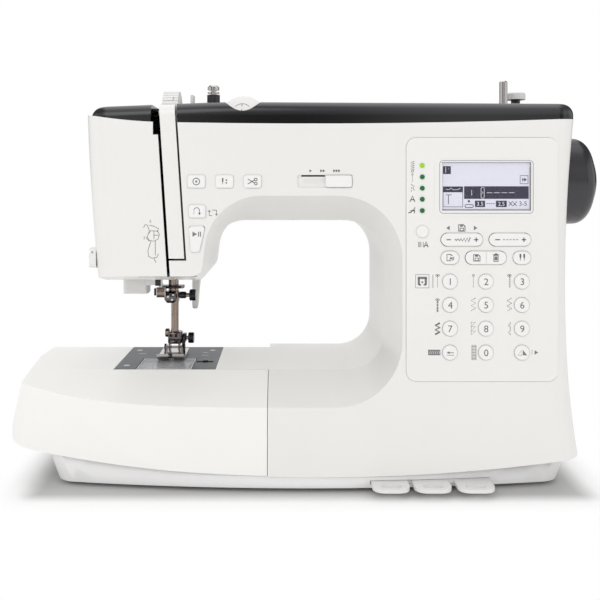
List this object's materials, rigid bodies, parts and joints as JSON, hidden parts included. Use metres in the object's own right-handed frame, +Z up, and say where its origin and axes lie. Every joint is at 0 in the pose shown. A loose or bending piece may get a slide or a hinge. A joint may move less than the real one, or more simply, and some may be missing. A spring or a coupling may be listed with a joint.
{
  "type": "sewing machine",
  "caption": "Household sewing machine with free arm, keypad panel, hand wheel, top-loading rotary hook, sliding extension table and pull-out reference cards.",
  "frame": {"origin": "on the bench under the middle of the overall box", "axes": "+X towards the hand wheel, +Y to the back (the panel and needle face -Y), +Z up"},
  "size_m": [0.4388, 0.165, 0.2885],
  "materials": {
    "white_shell": "gloss",
    "tray_shell": "satin",
    "dark_cover": "gloss",
    "panel": "satin",
    "keys": "satin",
    "small_white": "satin",
    "small_dark": "satin",
    "plate_steel": "satin",
    "chrome": "polished",
    "shaft_steel": "ground",
    "casting": "cast",
    "motor": "satin",
    "belt": "matte",
    "board": "matte",
    "clear": "clear"
  },
  "bodies": {
    "housing": {"front_cover": "white_shell", "rear_cover": "white_shell", "face_cover": "white_shell", "top_cover": "dark_cover", "base_tray": "tray_shell", "main_frame": "casting", "needle_plate": "plate_steel", "control_panel": "panel", "control_board": "board", "drive_motor": "motor", "drive_belts": "belt", "bobbin_case": "small_dark", "thread_guides": "small_dark"},
    "wheel_and_shaft": {"handwheel": "dark_cover", "main_shaft": "shaft_steel"},
    "needle_bar_link": {"needle_bar_link": "shaft_steel"},
    "lower_shaft": {"lower_shaft": "shaft_steel"},
    "motor_pulley": {"motor_pulley": "shaft_steel"},
    "rotary_hook": {"rotary_hook": "shaft_steel"},
    "bobbin": {"bobbin": "clear"},
    "needle_bar": {"needle_bar": "chrome"},
    "take_up_lever": {"take_up_lever": "chrome"},
    "presser_lever": {"presser_lever": "small_white"},
    "presser_bar": {"presser_bar": "chrome"},
    "presser_foot": {"presser_foot": "chrome"},
    "feed_dog": {"feed_dog": "plate_steel"},
    "needle_threader": {"needle_threader": "small_white"},
    "bobbin_cover": {"bobbin_cover": "clear"},
    "bobbin_latch": {"bobbin_latch": "small_dark"},
    "extension_table": {"extension_table": "white_shell"},
    "tension_dial": {"tension_dial": "small_dark"},
    "pressure_dial": {"pressure_dial": "small_dark"},
    "winder_spindle": {"winder_spindle": "chrome"},
    "spool_pin": {"spool_pin": "small_dark"},
    "handle": {"handle": "small_white"},
    "speed_slider": {"speed_slider": "keys"},
    "stitch_cards": {"stitch_cards": "small_white"},
    "key_0": {"key_0": "keys"},
    "key_1": {"key_1": "keys"},
    "key_2": {"key_2": "keys"},
    "key_3": {"key_3": "keys"},
    "key_4": {"key_4": "keys"},
    "key_5": {"key_5": "keys"},
    "key_6": {"key_6": "keys"},
    "key_7": {"key_7": "keys"},
    "key_8": {"key_8": "keys"},
    "key_9": {"key_9": "keys"},
    "key_enter": {"key_enter": "keys"},
    "key_mirror": {"key_mirror": "keys"},
    "mode_button": {"mode_button": "keys"},
    "edit_button": {"edit_button": "keys"},
    "twin_needle_button": {"twin_needle_button": "keys"},
    "lock_stitch_button": {"lock_stitch_button": "keys"},
    "needle_position_button": {"needle_position_button": "keys"},
    "thread_cutter_button": {"thread_cutter_button": "keys"},
    "reverse_button": {"reverse_button": "keys"},
    "start_stop_button": {"start_stop_button": "keys"},
    "width_rocker": {"width_rocker": "keys"},
    "length_rocker": {"length_rocker": "keys"},
    "memory_rocker": {"memory_rocker": "keys"}
  },
  "joints": [
    {"name": "wheel_turn", "type": "hinge", "parent": "housing", "child": "wheel_and_shaft", "pos_m": [0, 0.02, 0.2134], "axis": [1, 0, 0], "continuous": true},
    {"name": "link_swing", "type": "hinge", "parent": "wheel_and_shaft", "child": "needle_bar_link", "pos_m": [-0.1056, 0.02, 0.2284], "axis": [1, 0, 0], "continuous": true},
    {"name": "lower_shaft_turn", "type": "hinge", "parent": "housing", "child": "lower_shaft", "pos_m": [0, 0.02, 0.044], "axis": [1, 0, 0], "continuous": true},
    {"name": "motor_turn", "type": "hinge", "parent": "housing", "child": "motor_pulley", "pos_m": [0.145, -0.016, 0.112], "axis": [1, 0, 0], "continuous": true},
    {"name": "hook_turn", "type": "hinge", "parent": "housing", "child": "rotary_hook", "pos_m": [-0.112, 0.001, 0.06], "axis": [0, 0, 1], "continuous": true},
    {"name": "bobbin_spin", "type": "hinge", "parent": "housing", "child": "bobbin", "pos_m": [-0.112, 0.001, 0.066], "axis": [0, 0, 1], "continuous": true},
    {"name": "needle_bar_stroke", "type": "slide", "parent": "housing", "child": "needle_bar", "axis": [0, 0, 1], "range_m": [-0.03, 0]},
    {"name": "take_up_swing", "type": "hinge", "parent": "housing", "child": "take_up_lever", "pos_m": [-0.1105, 0.004, 0.234], "axis": [1, 0, 0], "range_deg": [0, 55]},
    {"name": "presser_lift", "type": "hinge", "parent": "housing", "child": "presser_lever", "pos_m": [-0.0955, 0.056, 0.152], "axis": [1, 0, 0], "range_deg": [0, 70]},
    {"name": "presser_bar_rise", "type": "slide", "parent": "housing", "child": "presser_bar", "axis": [0, 0, 1], "range_m": [0, 0.006]},
    {"name": "foot_tilt", "type": "hinge", "parent": "presser_bar", "child": "presser_foot", "pos_m": [-0.1105, 0.0335, 0.0805], "axis": [1, 0, 0], "range_deg": [-5, 0]},
    {"name": "feed_stroke", "type": "slide", "parent": "housing", "child": "feed_dog", "axis": [0, 1, 0], "range_m": [-0.0015, 0.0015]},
    {"name": "threader_stroke", "type": "slide", "parent": "housing", "child": "needle_threader", "axis": [0, 0, 1], "range_m": [-0.025, 0], "stiffness_N_per_m": 40, "springref_m": 0.01},
    {"name": "bobbin_cover_lift", "type": "hinge", "parent": "housing", "child": "bobbin_cover", "pos_m": [-0.112, 0.01771, 0.0738], "axis": [-1, 0, 0], "range_deg": [0, 4]},
    {"name": "latch_slide", "type": "slide", "parent": "housing", "child": "bobbin_latch", "axis": [1, 0, 0], "range_m": [0, 0.003], "stiffness_N_per_m": 100, "springref_m": -0.001},
    {"name": "table_slide", "type": "slide", "parent": "housing", "child": "extension_table", "axis": [-0.9889, 0, 0.1483], "range_m": [0, 0.13]},
    {"name": "tension_turn", "type": "hinge", "parent": "housing", "child": "tension_dial", "pos_m": [-0.103, -0.038, 0.261], "axis": [1, 0, 0], "range_deg": [-110, 160]},
    {"name": "pressure_turn", "type": "hinge", "parent": "housing", "child": "pressure_dial", "pos_m": [-0.052, -0.045, 0.2646], "axis": [0, -0.6428, 0.766], "range_deg": [-120, 120]},
    {"name": "winder_spin", "type": "hinge", "parent": "housing", "child": "winder_spindle", "pos_m": [0.142, -0.0075, 0.27], "axis": [0, 0, 1], "continuous": true},
    {"name": "spool_pin_lift", "type": "hinge", "parent": "housing", "child": "spool_pin", "pos_m": [0.074, 0.022, 0.2652], "axis": [0, 1, 0], "range_deg": [0, 80]},
    {"name": "handle_swing", "type": "hinge", "parent": "housing", "child": "handle", "pos_m": [0, 0.067, 0.2639], "axis": [-1, 0, 0], "range_deg": [0, 90]},
    {"name": "speed_slide", "type": "slide", "parent": "housing", "child": "speed_slider", "axis": [1, 0, 0], "range_m": [-0.0185, 0]},
    {"name": "cards_slide", "type": "slide", "parent": "housing", "child": "stitch_cards", "axis": [0, -1, 0], "range_m": [0, 0.06]},
    {"name": "key_0_press", "type": "slide", "parent": "housing", "child": "key_0", "axis": [0, 1, 0], "range_m": [0, 0.001], "stiffness_N_per_m": 300, "springref_m": -0.0005},
    {"name": "key_1_press", "type": "slide", "parent": "housing", "child": "key_1", "axis": [0, 1, 0], "range_m": [0, 0.001], "stiffness_N_per_m": 300, "springref_m": -0.0005},
    {"name": "key_2_press", "type": "slide", "parent": "housing", "child": "key_2", "axis": [0, 1, 0], "range_m": [0, 0.001], "stiffness_N_per_m": 300, "springref_m": -0.0005},
    {"name": "key_3_press", "type": "slide", "parent": "housing", "child": "key_3", "axis": [0, 1, 0], "range_m": [0, 0.001], "stiffness_N_per_m": 300, "springref_m": -0.0005},
    {"name": "key_4_press", "type": "slide", "parent": "housing", "child": "key_4", "axis": [0, 1, 0], "range_m": [0, 0.001], "stiffness_N_per_m": 300, "springref_m": -0.0005},
    {"name": "key_5_press", "type": "slide", "parent": "housing", "child": "key_5", "axis": [0, 1, 0], "range_m": [0, 0.001], "stiffness_N_per_m": 300, "springref_m": -0.0005},
    {"name": "key_6_press", "type": "slide", "parent": "housing", "child": "key_6", "axis": [0, 1, 0], "range_m": [0, 0.001], "stiffness_N_per_m": 300, "springref_m": -0.0005},
    {"name": "key_7_press", "type": "slide", "parent": "housing", "child": "key_7", "axis": [0, 1, 0], "range_m": [0, 0.001], "stiffness_N_per_m": 300, "springref_m": -0.0005},
    {"name": "key_8_press", "type": "slide", "parent": "housing", "child": "key_8", "axis": [0, 1, 0], "range_m": [0, 0.001], "stiffness_N_per_m": 300, "springref_m": -0.0005},
    {"name": "key_9_press", "type": "slide", "parent": "housing", "child": "key_9", "axis": [0, 1, 0], "range_m": [0, 0.001], "stiffness_N_per_m": 300, "springref_m": -0.0005},
    {"name": "key_enter_press", "type": "slide", "parent": "housing", "child": "key_enter", "axis": [0, 1, 0], "range_m": [0, 0.001], "stiffness_N_per_m": 300, "springref_m": -0.0005},
    {"name": "key_mirror_press", "type": "slide", "parent": "housing", "child": "key_mirror", "axis": [0, 1, 0], "range_m": [0, 0.001], "stiffness_N_per_m": 300, "springref_m": -0.0005},
    {"name": "mode_button_press", "type": "slide", "parent": "housing", "child": "mode_button", "axis": [0, 1, 0], "range_m": [0, 0.001], "stiffness_N_per_m": 300, "springref_m": -0.0005},
    {"name": "edit_button_press", "type": "slide", "parent": "housing", "child": "edit_button", "axis": [0, 1, 0], "range_m": [0, 0.001], "stiffness_N_per_m": 300, "springref_m": -0.0005},
    {"name": "twin_needle_button_press", "type": "slide", "parent": "housing", "child": "twin_needle_button", "axis": [0, 1, 0], "range_m": [0, 0.001], "stiffness_N_per_m": 300, "springref_m": -0.0005},
    {"name": "lock_stitch_button_press", "type": "slide", "parent": "housing", "child": "lock_stitch_button", "axis": [0, 1, 0], "range_m": [0, 0.001], "stiffness_N_per_m": 300, "springref_m": -0.0005},
    {"name": "needle_position_button_press", "type": "slide", "parent": "housing", "child": "needle_position_button", "axis": [0, 1, 0], "range_m": [0, 0.001], "stiffness_N_per_m": 300, "springref_m": -0.0005},
    {"name": "thread_cutter_button_press", "type": "slide", "parent": "housing", "child": "thread_cutter_button", "axis": [0, 1, 0], "range_m": [0, 0.001], "stiffness_N_per_m": 300, "springref_m": -0.0005},
    {"name": "reverse_button_press", "type": "slide", "parent": "housing", "child": "reverse_button", "axis": [0, 1, 0], "range_m": [0, 0.001], "stiffness_N_per_m": 300, "springref_m": -0.0005},
    {"name": "start_stop_button_press", "type": "slide", "parent": "housing", "child": "start_stop_button", "axis": [0, 1, 0], "range_m": [0, 0.001], "stiffness_N_per_m": 300, "springref_m": -0.0005},
    {"name": "width_rocker_tip", "type": "hinge", "parent": "housing", "child": "width_rocker", "pos_m": [0.0992, -0.055, 0.1726], "axis": [0, 0, 1], "range_deg": [-4, 4], "stiffness_Nm_per_rad": 0.05},
    {"name": "length_rocker_tip", "type": "hinge", "parent": "housing", "child": "length_rocker", "pos_m": [0.1323, -0.055, 0.1726], "axis": [0, 0, 1], "range_deg": [-4, 4], "stiffness_Nm_per_rad": 0.05},
    {"name": "memory_rocker_tip", "type": "hinge", "parent": "housing", "child": "memory_rocker", "pos_m": [0.1157, -0.055, 0.1601], "axis": [0, 0, 1], "range_deg": [-4, 4], "stiffness_Nm_per_rad": 0.05}
  ],
  "couplings": [
    {"joint": "link_swing", "follows": "wheel_turn", "ratio": -1},
    {"joint": "lower_shaft_turn", "follows": "wheel_turn", "ratio": 1},
    {"joint": "motor_turn", "follows": "wheel_turn", "ratio": 2.25},
    {"joint": "hook_turn", "follows": "wheel_turn", "ratio": 2},
    {"joint": "presser_lift", "follows": "presser_bar_rise", "rad_per_m": 203.62}
  ]
}
